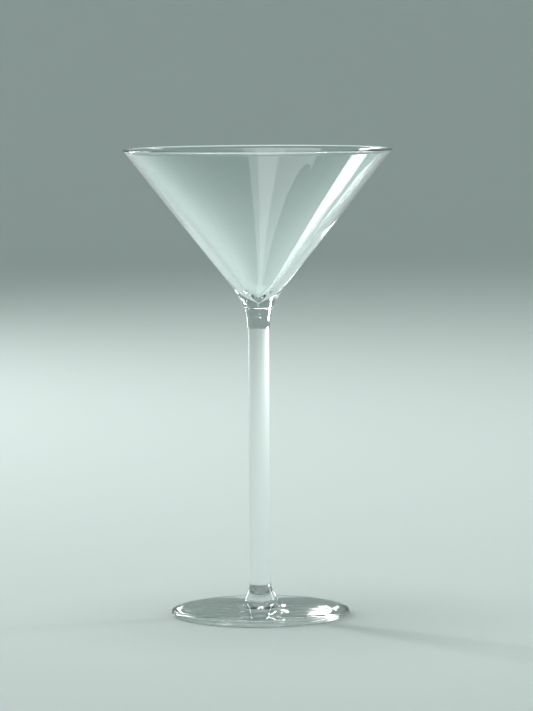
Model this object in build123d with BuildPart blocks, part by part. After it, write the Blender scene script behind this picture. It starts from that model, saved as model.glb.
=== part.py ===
"""Martini glass: a conical bowl, a solid rod stem and a disc foot in clear glass.

The glass is made the way a lamp worker makes it, from five pieces of hot glass that are
fused end to end: foot, lower collar, stem, upper collar and bowl. Every piece is turned
about the Z axis and meets its neighbours in a flat round joint face.

Frame: millimetres, +Z up along the axis of the glass, origin at the centre of the underside.
A profile is drawn in the XZ plane, as points of (radius, height above the table).
"""

import os
from math import atan2, cos, degrees, radians, sin

from build123d import *

os.makedirs("parts", exist_ok=True)

# ---- driving dimensions ----------------------------------------------------------------

GLASS_HEIGHT = 191.3
RIM_DIAMETER = 110.0
FOOT_DIAMETER = 73.3
STEM_DIAMETER = 8.9

# Heights of the four fused joints above the table.
FOOT_JOINT_HEIGHT = 6.0
STEM_BASE_HEIGHT = 12.6
STEM_TOP_HEIGHT = 117.9
BOWL_BASE_HEIGHT = 126.2

# Foot: a disc with a round edge. Its upper face is steep beside the edge, then rises gently
# to a low bead of glass round the bell.
FOOT_EDGE_THICKNESS = 2.7
FOOT_EDGE_RISE_ANGLE = 24.0
FOOT_SHOULDER_RADIUS = 27.0
FOOT_SHOULDER_HEIGHT = 3.9
BEAD_RADIUS = 9.7
BEAD_HEIGHT = 5.4
FOOT_RISE_ANGLE = 5.5

# Lower collar: a bell whose lip spreads onto the foot.
BELL_RADIUS = 6.8
BELL_LIP_RADIUS = 7.5
BELL_LIP_HEIGHT = 0.6
BELL_FLARE_ANGLE = 22.0

# Upper collar: a hair wider than the stem, almost straight at first, then a taper that ends a
# little inside the bowl's shoulder.
COLLAR_BASE_RADIUS = 4.65
COLLAR_MIDDLE_RADIUS = 4.8
COLLAR_MIDDLE_HEIGHT = 121.0
COLLAR_TOP_RADIUS = 5.85
COLLAR_FLARE_ANGLE = 13.0

# Bowl: the wall is thin at the rim and thick at the bottom of the cone.
RIM_WALL = 1.5
BOWL_BASE_RADIUS = 6.3
BOWL_BASE_ANGLE = 28.0
CONE_START_RADIUS = 11.2
CONE_START_HEIGHT = 135.4
HOLLOW_START_RADIUS = 7.2
HOLLOW_START_HEIGHT = 135.5
HOLLOW_APEX_HEIGHT = 128.9
HOLLOW_APEX_ANGLE = 55.0

# ---- derived dimensions ----------------------------------------------------------------

RIM_RADIUS = RIM_DIAMETER / 2
FOOT_RADIUS = FOOT_DIAMETER / 2
STEM_RADIUS = STEM_DIAMETER / 2
RIM_ROUND = RIM_WALL / 2
FOOT_EDGE_ROUND = FOOT_EDGE_THICKNESS / 2


def leaning(angle):
    """Upward direction that leans out from the axis by an angle in degrees."""
    return Vector(sin(radians(angle)), cos(radians(angle)))


def slope_between(lower, upper):
    """Angle in degrees from the axis of the straight line between two profile points."""
    return degrees(atan2(upper[0] - lower[0], upper[1] - lower[1]))


# ---- foot: the disc that the glass stands on -------------------------------------------

with BuildPart() as foot:
    with BuildSketch(Plane.XZ):
        with BuildLine():
            underside = Line((0, 0), (FOOT_RADIUS - FOOT_EDGE_ROUND, 0))
            edge_centre = underside @ 1 + (0, FOOT_EDGE_ROUND)
            edge = CenterArc(edge_centre, FOOT_EDGE_ROUND, -90, 180 - FOOT_EDGE_RISE_ANGLE)
            upper_face = Spline(
                edge @ 1,
                (FOOT_SHOULDER_RADIUS, FOOT_SHOULDER_HEIGHT),
                (BEAD_RADIUS, BEAD_HEIGHT),
                tangents=[leaning(FOOT_EDGE_RISE_ANGLE - 90), leaning(FOOT_RISE_ANGLE - 90)],
            )
            bead = TangentArc(
                (BELL_LIP_RADIUS, FOOT_JOINT_HEIGHT),
                upper_face @ 1,
                tangent=(1, 0),
            )
            Polyline((BELL_LIP_RADIUS, FOOT_JOINT_HEIGHT), (0, FOOT_JOINT_HEIGHT), (0, 0))
        make_face()
    revolve(axis=Axis.Z)

# ---- lower collar: the bell between the foot and the stem ------------------------------

with BuildPart() as lower_collar:
    with BuildSketch(Plane.XZ):
        with BuildLine():
            base = Line((0, FOOT_JOINT_HEIGHT), (BELL_LIP_RADIUS, FOOT_JOINT_HEIGHT))
            flare = Spline(
                (BELL_RADIUS, FOOT_JOINT_HEIGHT + BELL_LIP_HEIGHT),
                (STEM_RADIUS, STEM_BASE_HEIGHT),
                tangents=[leaning(-BELL_FLARE_ANGLE), (0, 1)],
            )
            lip = Line(base @ 1, flare @ 0)
            Polyline(flare @ 1, (0, STEM_BASE_HEIGHT), base @ 0)
        make_face()
    revolve(axis=Axis.Z)

# ---- stem: a straight solid rod --------------------------------------------------------

with BuildPart() as stem:
    with BuildSketch(Plane.XY.offset(STEM_BASE_HEIGHT)):
        Circle(STEM_RADIUS)
    extrude(amount=STEM_TOP_HEIGHT - STEM_BASE_HEIGHT)

# ---- upper collar: the taper between the stem and the bowl -----------------------------

with BuildPart() as upper_collar:
    with BuildSketch(Plane.XZ):
        with BuildLine():
            base = Line((0, STEM_TOP_HEIGHT), (COLLAR_BASE_RADIUS, STEM_TOP_HEIGHT))
            taper = Spline(
                base @ 1,
                (COLLAR_MIDDLE_RADIUS, COLLAR_MIDDLE_HEIGHT),
                (COLLAR_TOP_RADIUS, BOWL_BASE_HEIGHT),
                tangents=[(0, 1), leaning(COLLAR_FLARE_ANGLE)],
            )
            Polyline(taper @ 1, (0, BOWL_BASE_HEIGHT), base @ 0)
        make_face()
    revolve(axis=Axis.Z)

# ---- bowl: the cone that holds the drink -----------------------------------------------

with BuildPart() as bowl:
    with BuildSketch(Plane.XZ):
        with BuildLine():
            cone_start = (CONE_START_RADIUS, CONE_START_HEIGHT)
            hollow_start = (HOLLOW_START_RADIUS, HOLLOW_START_HEIGHT)
            rim_outside = (RIM_RADIUS, GLASS_HEIGHT - RIM_ROUND)
            rim_crown = (RIM_RADIUS - RIM_ROUND, GLASS_HEIGHT)
            rim_inside = (RIM_RADIUS - RIM_WALL, GLASS_HEIGHT - RIM_ROUND)

            base = Line((0, BOWL_BASE_HEIGHT), (BOWL_BASE_RADIUS, BOWL_BASE_HEIGHT))
            outer_bottom = Spline(
                base @ 1,
                cone_start,
                tangents=[leaning(BOWL_BASE_ANGLE), leaning(slope_between(cone_start, rim_outside))],
            )
            outer_cone = Line(cone_start, rim_outside)
            rim = ThreePointArc(rim_outside, rim_crown, rim_inside)
            inner_cone = Line(rim_inside, hollow_start)
            inner_bottom = Spline(
                (0, HOLLOW_APEX_HEIGHT),
                hollow_start,
                tangents=[leaning(HOLLOW_APEX_ANGLE), leaning(slope_between(hollow_start, rim_inside))],
            )
            Line(inner_bottom @ 0, base @ 0)
        make_face()
    revolve(axis=Axis.Z)

# ---- one STEP file per piece -----------------------------------------------------------

pieces = {
    "foot": foot,
    "lower_collar": lower_collar,
    "stem": stem,
    "upper_collar": upper_collar,
    "bowl": bowl,
}
for name, piece in pieces.items():
    piece.part.label = name
    export_step(piece.part, f"parts/{name}.step")
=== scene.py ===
"""Looks for the martini glass: five pieces of clear, hand-worked glass on a plain pale floor.

Every size is in metres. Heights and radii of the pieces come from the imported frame, and the
finer shape of each outline is given as named values beside the piece that uses it.
"""

import math

import bmesh
import bpy
from mathutils import Matrix, Vector, noise


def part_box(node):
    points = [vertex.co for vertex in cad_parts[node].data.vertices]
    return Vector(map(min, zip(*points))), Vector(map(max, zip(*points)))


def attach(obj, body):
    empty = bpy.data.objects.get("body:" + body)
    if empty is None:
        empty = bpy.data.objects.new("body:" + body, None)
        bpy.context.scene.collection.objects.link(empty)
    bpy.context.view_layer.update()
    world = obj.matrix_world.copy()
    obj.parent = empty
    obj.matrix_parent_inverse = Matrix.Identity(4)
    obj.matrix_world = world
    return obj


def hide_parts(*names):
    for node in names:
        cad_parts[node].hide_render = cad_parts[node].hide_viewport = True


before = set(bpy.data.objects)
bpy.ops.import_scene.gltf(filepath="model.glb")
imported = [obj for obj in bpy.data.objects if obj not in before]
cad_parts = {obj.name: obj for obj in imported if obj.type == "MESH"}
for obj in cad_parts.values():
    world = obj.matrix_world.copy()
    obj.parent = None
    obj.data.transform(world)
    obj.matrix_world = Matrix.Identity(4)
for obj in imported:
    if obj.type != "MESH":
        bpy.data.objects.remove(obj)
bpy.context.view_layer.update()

MM = 0.001
SEGMENTS = 384
CAP_RINGS = 4

# The slight unevenness of hand-worked glass. It fades out towards the axis, so that the middle
# stays straight, and towards the foot, so that the foot stays flat on the floor.
WAVE_SIZE = 30 * MM
WAVE_DEPTH = 0.02 * MM
WAVE_START = Vector((3.1, 7.7, 1.9))
WAVE_LIFT = 0.5
CALM_RADIUS = 8 * MM
CALM_HEIGHT = 6 * MM
CALM_FADE = 20 * MM

# Without a fixed seed the noise is different in every run.
WAVE_SEED = 7
noise.seed_set(WAVE_SEED)

# Points closer than this count as one.
SAME_PLACE = 0.001 * MM


# ---- outlines --------------------------------------------------------------------------
# An outline is a list of (radius, height) points, walked from the bottom of the axis, out
# and up the outer side, to the top of the axis.


def direction(angle_from_axis):
    """Unit step in (radius, height) that leans out from straight up by an angle in degrees."""
    return math.sin(math.radians(angle_from_axis)), math.cos(math.radians(angle_from_axis))


def bend(start, start_angle, end, end_angle, steps):
    """Smooth curve between two points that leaves and arrives at the given angles."""
    reach = math.dist(start, end)
    leave = [reach * part for part in direction(start_angle)]
    arrive = [reach * part for part in direction(end_angle)]
    points = []
    for step in range(steps + 1):
        t = step / steps
        a = 2 * t**3 - 3 * t**2 + 1
        b = t**3 - 2 * t**2 + t
        c = 3 * t**2 - 2 * t**3
        d = t**3 - t**2
        points.append(tuple(a * start[i] + b * leave[i] + c * end[i] + d * arrive[i] for i in (0, 1)))
    return points


def straight(start, end, steps):
    """Evenly spaced points on a straight line."""
    return [
        tuple(start[i] + (end[i] - start[i]) * step / steps for i in (0, 1))
        for step in range(steps + 1)
    ]


def round_edge(centre, radius, first_angle, last_angle, steps):
    """Points on an arc. Angles are in degrees, counted from outwards towards up."""
    points = []
    for step in range(steps + 1):
        angle = math.radians(first_angle + (last_angle - first_angle) * step / steps)
        points.append((centre[0] + radius * math.cos(angle), centre[1] + radius * math.sin(angle)))
    return points


def joined(*runs):
    """One outline from several runs of points, without the doubled points between them."""
    outline = []
    for run in runs:
        for point in run:
            if not outline or math.dist(outline[-1], point) > SAME_PLACE:
                outline.append(point)
    return outline


# ---- turned meshes ---------------------------------------------------------------------


def hand_worked(point):
    """Moves a point of the glass by the slight, smooth unevenness of hand work."""
    drift = noise.noise_vector(point / WAVE_SIZE + WAVE_START) * WAVE_DEPTH
    from_axis = min(1.0, math.hypot(point.x, point.y) / CALM_RADIUS)
    from_foot = min(1.0, max(0.0, point.z - CALM_HEIGHT) / CALM_FADE)
    return point + Vector((drift.x * from_axis, drift.y * from_axis, drift.z * WAVE_LIFT)) * from_foot


def turn(bm, outline, material_of):
    """Adds to bm the surface that the outline sweeps, with a material index for each run."""
    rings = []
    for radius, height in outline:
        if radius < SAME_PLACE:
            rings.append([bm.verts.new(hand_worked(Vector((0, 0, height))))])
            continue
        ring = []
        for step in range(SEGMENTS):
            angle = 2 * math.pi * step / SEGMENTS
            place = Vector((radius * math.cos(angle), radius * math.sin(angle), height))
            ring.append(bm.verts.new(hand_worked(place)))
        rings.append(ring)
    for index, (low, high) in enumerate(zip(rings, rings[1:])):
        for step in range(SEGMENTS):
            following = (step + 1) % SEGMENTS
            if len(low) == 1:
                corners = [low[0], high[following], high[step]]
            elif len(high) == 1:
                corners = [low[step], low[following], high[0]]
            else:
                corners = [low[step], low[following], high[following], high[step]]
            face = bm.faces.new(corners)
            face.smooth = True
            face.material_index = material_of(index)


def sharpen_caps(bm):
    """Keeps the shading of a fused joint face apart from the outside of the glass."""
    for edge in bm.edges:
        slots = {face.material_index for face in edge.link_faces}
        edge.smooth = len(slots) == 1


def piece_from(bm, name, materials):
    """Makes an object from the mesh, in its place in the frame."""
    sharpen_caps(bm)
    bm.normal_update()
    mesh = bpy.data.meshes.new(name)
    bm.to_mesh(mesh)
    bm.free()
    for material in materials:
        mesh.materials.append(material)
    piece = bpy.data.objects.new(name, mesh)
    bpy.context.scene.collection.objects.link(piece)
    return piece


def cap_run(radius, height, outwards):
    """A flat round joint face, as rings between the axis and its edge."""
    run = straight((0, height), (radius, height), CAP_RINGS)
    return run if outwards else run[::-1]


def add_bubble(bm, centre, width, height):
    """A closed pocket of air inside the glass, with its faces turned to the air."""
    bubble = bmesh.ops.create_icosphere(bm, subdivisions=3, radius=0.5)
    for vert in bubble["verts"]:
        vert.co = Vector((vert.co.x * width, vert.co.y * width, vert.co.z * height)) + Vector(centre)
    faces = {face for vert in bubble["verts"] for face in vert.link_faces}
    for face in faces:
        face.normal_flip()
        face.smooth = True


def glass_piece(node, outline, material, base_cap=False, top_cap=False, bubbles=()):
    """A turned piece that stands for a CAD node. Its fused joint faces let sight pass."""
    last = len(outline) - 1

    def material_of(index):
        in_base = base_cap and index < CAP_RINGS
        in_top = top_cap and index >= last - CAP_RINGS
        return 1 if in_base or in_top else 0

    bm = bmesh.new()
    turn(bm, outline, material_of)
    for bubble in bubbles:
        add_bubble(bm, *bubble)
    piece = piece_from(bm, f"{node}_glass", [material, JOINT_FACE])
    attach(piece, "root")
    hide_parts(node)


# ---- materials -------------------------------------------------------------------------


def new_material(name):
    """An empty node material, with its nodes and links."""
    material = bpy.data.materials.new(name)
    material.use_nodes = True
    material.node_tree.nodes.clear()
    return material, material.node_tree.nodes, material.node_tree.links


def clear_glass(name, tints, wave_stretch, wave_scale, wave_bump, haze):
    """Clear glass with a trace of green, faint waves in its surface and faint smears on it."""
    glass_index = 1.47
    wave_height = 0.1 * MM
    smear_scale = 45.0
    smear_start = 0.55
    smear_full = 0.80

    material, nodes, links = new_material(name)
    output = nodes.new("ShaderNodeOutputMaterial")
    glass = nodes.new("ShaderNodeBsdfPrincipled")
    glass.inputs["Transmission Weight"].default_value = 1.0
    glass.inputs["IOR"].default_value = glass_index
    links.new(glass.outputs["BSDF"], output.inputs["Surface"])

    place = nodes.new("ShaderNodeTexCoord")
    stretch = nodes.new("ShaderNodeMapping")
    stretch.inputs["Scale"].default_value = wave_stretch
    links.new(place.outputs["Object"], stretch.inputs["Vector"])

    waves = nodes.new("ShaderNodeTexNoise")
    waves.inputs["Scale"].default_value = wave_scale
    waves.inputs["Detail"].default_value = 2.0
    links.new(stretch.outputs["Vector"], waves.inputs["Vector"])
    bump = nodes.new("ShaderNodeBump")
    bump.inputs["Strength"].default_value = wave_bump
    bump.inputs["Distance"].default_value = wave_height
    links.new(waves.outputs["Fac"], bump.inputs["Height"])
    links.new(bump.outputs["Normal"], glass.inputs["Normal"])

    smears = nodes.new("ShaderNodeTexNoise")
    smears.inputs["Scale"].default_value = smear_scale
    smears.inputs["Detail"].default_value = 4.0
    links.new(place.outputs["Object"], smears.inputs["Vector"])
    rough = nodes.new("ShaderNodeMapRange")
    rough.inputs["From Min"].default_value = smear_start
    rough.inputs["From Max"].default_value = smear_full
    rough.inputs["To Min"].default_value = 0.0
    rough.inputs["To Max"].default_value = haze
    links.new(smears.outputs["Fac"], rough.inputs["Value"])
    links.new(rough.outputs["Result"], glass.inputs["Roughness"])

    tint = nodes.new("ShaderNodeValToRGB")
    for stop, shade in zip(tint.color_ramp.elements, tints):
        stop.color = (*shade, 1)
    links.new(waves.outputs["Fac"], tint.inputs["Fac"])
    links.new(tint.outputs["Color"], glass.inputs["Base Color"])
    return material


def joint_face_material():
    """The face where two pieces are fused: glass meets glass, so light goes straight through."""
    material, nodes, links = new_material("fused_joint")
    output = nodes.new("ShaderNodeOutputMaterial")
    through = nodes.new("ShaderNodeBsdfTransparent")
    links.new(through.outputs["BSDF"], output.inputs["Surface"])
    return material


JOINT_FACE = joint_face_material()


# ---- sizes from the frame --------------------------------------------------------------


def size_of(node):
    """Outer radius, base height and top height of a CAD node."""
    low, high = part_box(node)
    return (high.x - low.x) / 2, low.z, high.z


FOOT_RADIUS, _, FOOT_JOINT = size_of("foot")
BELL_RADIUS, _, STEM_BASE = size_of("lower_collar")
STEM_RADIUS, _, STEM_TOP = size_of("stem")
COLLAR_RADIUS, _, BOWL_BASE = size_of("upper_collar")
RIM_RADIUS, _, RIM_HEIGHT = size_of("bowl")
BOWL_MIDDLE = (BOWL_BASE + RIM_HEIGHT) / 2

# The visual glass stays this far inside the CAD box, so that its waves don't leave it.
MARGIN = 0.08 * MM


# ---- foot ------------------------------------------------------------------------------
# The angles of the outlines are counted from straight up: positive leads out, negative leads
# in, and 180 is straight down.


def make_foot(material):
    """A disc with a round edge, faint rings near the edge and a low bead round the bell."""
    edge_round = 1.35 * MM
    shoulder = (27 * MM, 3.9 * MM)
    bead_start = (9.7 * MM, 5.4 * MM)
    bead_end = (BELL_RADIUS, FOOT_JOINT)
    edge_angle = -66
    plate_angle = -84.5
    bead_start_angle = -70
    bead_end_angle = -92

    edge_centre = (FOOT_RADIUS - MARGIN - edge_round, edge_round)
    edge = round_edge(edge_centre, edge_round, -90, -edge_angle, steps=32)
    slope = joined(
        bend(edge[-1], edge_angle, shoulder, plate_angle, steps=40),
        bend(shoulder, plate_angle, bead_start, plate_angle, steps=60),
    )
    outline = joined(
        straight((0, 0), edge[0], steps=24),
        edge,
        [rippled(point) for point in slope],
        bend(bead_start, bead_start_angle, bead_end, bead_end_angle, steps=10),
        cap_run(BELL_RADIUS, FOOT_JOINT, outwards=False),
    )
    glass_piece("foot", outline, material, top_cap=True)


def rippled(point):
    """Lifts and lowers a point of the foot's upper face by the rings left from its making."""
    ring_start = 26 * MM
    ring_end = 35 * MM
    ring_pitch = 2.4 * MM
    ring_depth = 0.008 * MM
    radius, height = point
    if not ring_start < radius < ring_end:
        return point
    along = (radius - ring_start) / (ring_end - ring_start)
    wave = math.sin(2 * math.pi * (radius - ring_start) / ring_pitch)
    return radius, height + ring_depth * wave * math.sin(math.pi * along)


# ---- lower collar ----------------------------------------------------------------------


def make_lower_collar(material):
    """The bell between foot and stem, with a small lip where it spreads onto the foot."""
    base = (BELL_RADIUS, FOOT_JOINT)
    lip = (6.8 * MM, FOOT_JOINT + 0.6 * MM)
    top = (STEM_RADIUS, STEM_BASE)
    base_angle = -60
    lip_angle = -20
    flare_angle = -25
    top_angle = -2

    outline = joined(
        cap_run(BELL_RADIUS, FOOT_JOINT, outwards=True),
        bend(base, base_angle, lip, lip_angle, steps=8),
        bend(lip, flare_angle, top, top_angle, steps=24),
        cap_run(STEM_RADIUS, STEM_BASE, outwards=False),
    )
    glass_piece("lower_collar", outline, material, base_cap=True, top_cap=True)


# ---- stem ------------------------------------------------------------------------------


def make_stem(material):
    """A straight solid rod."""
    outline = joined(
        cap_run(STEM_RADIUS, STEM_BASE, outwards=True),
        straight((STEM_RADIUS, STEM_BASE), (STEM_RADIUS, STEM_TOP), steps=100),
        cap_run(STEM_RADIUS, STEM_TOP, outwards=False),
    )
    glass_piece("stem", outline, material, base_cap=True, top_cap=True)


# ---- upper collar ----------------------------------------------------------------------


def make_upper_collar(material):
    """The taper between stem and bowl, a hair wider than the stem, with four bubbles in it."""
    base = (STEM_RADIUS, STEM_TOP)
    lip = (STEM_RADIUS + 0.20 * MM, STEM_TOP + 0.35 * MM)
    middle = (4.8 * MM, STEM_TOP + 3.2 * MM)
    top = (COLLAR_RADIUS, BOWL_BASE)
    base_angle = 50
    middle_angle = 6
    top_angle = 13

    # Each bubble has a centre, a width and a height.
    bubbles = [
        ((0.2 * MM, 0, STEM_TOP + 6.2 * MM), 0.30 * MM, 0.5 * MM),
        ((0.5 * MM, 0.2 * MM, STEM_TOP + 4.6 * MM), 0.35 * MM, 0.8 * MM),
        ((1.4 * MM, -0.3 * MM, STEM_TOP + 3.2 * MM), 0.25 * MM, 0.4 * MM),
        ((1.0 * MM, 0.6 * MM, STEM_TOP + 1.6 * MM), 0.20 * MM, 0.3 * MM),
    ]
    outline = joined(
        cap_run(STEM_RADIUS, STEM_TOP, outwards=True),
        bend(base, base_angle, lip, 0, steps=6),
        bend(lip, 0, middle, middle_angle, steps=12),
        bend(middle, middle_angle, top, top_angle, steps=20),
        cap_run(COLLAR_RADIUS, BOWL_BASE, outwards=False),
    )
    glass_piece("upper_collar", outline, material, base_cap=True, top_cap=True, bubbles=bubbles)


# ---- bowl ------------------------------------------------------------------------------


def angle_between(start, end):
    """Angle in degrees from straight up of the line between two points of an outline."""
    return math.degrees(math.atan2(end[0] - start[0], end[1] - start[1]))


def make_bowl(material):
    """The cone, thin at its fire-polished rim, with a fine pit under the point of the hollow."""
    rim_round = 0.75 * MM
    base = (COLLAR_RADIUS, BOWL_BASE)
    shoulder = (6.45 * MM, BOWL_BASE + 0.7 * MM)
    cone_start = (11.2 * MM, BOWL_BASE + 9.2 * MM)
    hollow_start = (7.2 * MM, BOWL_BASE + 9.3 * MM)
    pit_mouth = (0.45 * MM, BOWL_BASE + 3.1 * MM)
    pit_end = (0, BOWL_BASE + 0.4 * MM)
    base_angle = 55
    shoulder_angle = 20
    down = 180
    hollow_end_angle = down + 52
    pit_mouth_angle = down + 30
    pit_end_angle = down + 2

    crown = (RIM_RADIUS - MARGIN - rim_round, RIM_HEIGHT - MARGIN - rim_round)
    rim_outside = (crown[0] + rim_round, crown[1])
    rim_inside = (crown[0] - rim_round, crown[1])
    cone_angle = angle_between(cone_start, rim_outside)
    hollow_angle = down + angle_between(hollow_start, rim_inside)
    outline = joined(
        cap_run(COLLAR_RADIUS, BOWL_BASE, outwards=True),
        bend(base, base_angle, shoulder, shoulder_angle, steps=10),
        bend(shoulder, shoulder_angle, cone_start, cone_angle, steps=24),
        straight(cone_start, rim_outside, steps=80),
        round_edge(crown, rim_round, 0, 180, steps=16),
        straight(rim_inside, hollow_start, steps=80),
        bend(hollow_start, hollow_angle, pit_mouth, hollow_end_angle, steps=24),
        bend(pit_mouth, pit_mouth_angle, pit_end, pit_end_angle, steps=12),
    )
    glass_piece("bowl", outline, material, base_cap=True)


# ---- the five pieces -------------------------------------------------------------------

# Each glass varies between two tints. The bowl's are a little deeper.
FAINT_TINTS = [(0.965, 0.992, 0.985), (0.990, 1.000, 0.997)]
BOWL_TINTS = [(0.940, 0.992, 0.982), (0.965, 0.997, 0.992)]

# The waves in drawn glass are stretched along the rod.
EVEN_WAVES = (1.0, 1.0, 1.0)
DRAWN_WAVES = (1.0, 1.0, 0.12)

drawn_glass = clear_glass("drawn_rod_glass", FAINT_TINTS, DRAWN_WAVES, 160.0, wave_bump=0.03, haze=0.006)
blown_glass = clear_glass("blown_bowl_glass", BOWL_TINTS, EVEN_WAVES, 55.0, wave_bump=0.012, haze=0.005)
pressed_glass = clear_glass("pressed_foot_glass", FAINT_TINTS, EVEN_WAVES, 70.0, wave_bump=0.0, haze=0.0)
gathered_glass = clear_glass(
    "gathered_collar_glass", FAINT_TINTS, EVEN_WAVES, 220.0, wave_bump=0.10, haze=0.01
)

make_foot(pressed_glass)
make_lower_collar(gathered_glass)
make_stem(drawn_glass)
make_upper_collar(gathered_glass)
make_bowl(blown_glass)


# ---- studio ----------------------------------------------------------------------------


def studio_material():
    """Plain matt paper in one pale colour."""
    pale = (0.70, 0.77, 0.75)
    material, nodes, links = new_material("studio_paper")
    output = nodes.new("ShaderNodeOutputMaterial")
    paper = nodes.new("ShaderNodeBsdfPrincipled")
    paper.inputs["Base Color"].default_value = (*pale, 1)
    paper.inputs["Roughness"].default_value = 1.0
    paper.inputs["Specular IOR Level"].default_value = 0.0
    links.new(paper.outputs["BSDF"], output.inputs["Surface"])
    return material


def make_studio():
    """A round floor that sweeps up into a wall, wide enough for every camera to stand inside."""
    floor_radius = 2.6
    sweep_radius = 0.9
    wall_height = 4.0
    sides = 96
    drop = 0.05 * MM
    wall_radius = floor_radius + sweep_radius
    outline = joined(
        straight((0, -drop), (floor_radius, -drop), steps=12),
        round_edge((floor_radius, sweep_radius - drop), sweep_radius, -90, 0, steps=16),
        straight((wall_radius, sweep_radius), (wall_radius, wall_height), steps=4),
    )
    turns = [2 * math.pi * step / sides for step in range(sides)]
    bm = bmesh.new()
    rings = []
    for radius, height in outline:
        if radius == 0:
            rings.append([bm.verts.new((0, 0, height))])
            continue
        rings.append([bm.verts.new((radius * math.cos(a), radius * math.sin(a), height)) for a in turns])
    for low, high in zip(rings, rings[1:]):
        for step in range(sides):
            following = (step + 1) % sides
            if len(low) == 1:
                corners = [low[0], high[step], high[following]]
            else:
                corners = [low[step], high[step], high[following], low[following]]
            bm.faces.new(corners).smooth = True
    mesh = bpy.data.meshes.new("studio_floor")
    bm.to_mesh(mesh)
    bm.free()
    mesh.materials.append(studio_material())
    floor = bpy.data.objects.new("studio_floor", mesh)
    bpy.context.scene.collection.objects.link(floor)


def standing(bearing, distance, height):
    """A place round the glass. Bearing 0 is the right of the glass and 90 is behind it."""
    angle = math.radians(bearing)
    return distance * math.cos(angle), distance * math.sin(angle), height


def softbox(name, place, target, width, height, brightness):
    """A soft white rectangular lamp that faces a point. Its brightness is for each unit of area."""
    lamp = bpy.data.lights.new(name, "AREA")
    lamp.shape = "RECTANGLE"
    lamp.size = width
    lamp.size_y = height
    lamp.energy = brightness * math.pi * width * height
    holder = bpy.data.objects.new(name, lamp)
    holder.location = place
    holder.rotation_euler = (Vector(target) - Vector(place)).to_track_quat("-Z", "Y").to_euler()
    holder.visible_camera = False
    bpy.context.scene.collection.objects.link(holder)


def make_lights():
    """Plain soft studio light: a tall key behind the left, a weaker one at the right, one above."""
    middle = (0, 0, BOWL_MIDDLE)
    softbox("key", standing(133, 1.6, 0.75), middle, width=0.34, height=1.1, brightness=14.0)
    softbox("side", standing(20, 1.7, 0.6), middle, width=0.35, height=1.2, brightness=5.5)
    softbox("top", (-0.2, 0.2, 2.2), (0, 0.4, 0), width=1.4, height=1.4, brightness=2.6)


def make_air():
    """Dim, even light from everywhere."""
    colour = (0.80, 0.90, 0.88)
    world = bpy.data.worlds.new("studio_air")
    world.use_nodes = True
    background = world.node_tree.nodes["Background"]
    background.inputs["Color"].default_value = (*colour, 1)
    background.inputs["Strength"].default_value = 0.36
    bpy.context.scene.world = world


def make_camera():
    """A long lens, a little above the rim, looking slightly down and a hair tilted."""
    distance = 1.636
    camera_height = 0.2371
    side_step = 3.1 * MM
    pitch = math.radians(4.56)
    roll = math.radians(-0.38)
    lens = bpy.data.cameras.new("camera")
    lens.sensor_width = 36
    lens.lens = 203.3
    lens.clip_start = 0.05
    lens.clip_end = 20
    camera = bpy.data.objects.new("camera", lens)
    place = Matrix.Translation((side_step, -distance, camera_height))
    level = Matrix.Rotation(math.pi / 2 - pitch, 4, "X")
    camera.matrix_world = place @ level @ Matrix.Rotation(roll, 4, "Z")
    bpy.context.scene.collection.objects.link(camera)
    bpy.context.scene.camera = camera


make_studio()
make_lights()
make_air()
make_camera()

bpy.context.scene.view_settings.view_transform = "Standard"

# Light crosses many faces of clear glass, so it may bounce more often than is usual.
GLASS_BOUNCES = 32
cycles = bpy.context.scene.cycles
cycles.max_bounces = GLASS_BOUNCES
cycles.transmission_bounces = GLASS_BOUNCES
cycles.transparent_max_bounces = GLASS_BOUNCES
cycles.glossy_bounces = 16
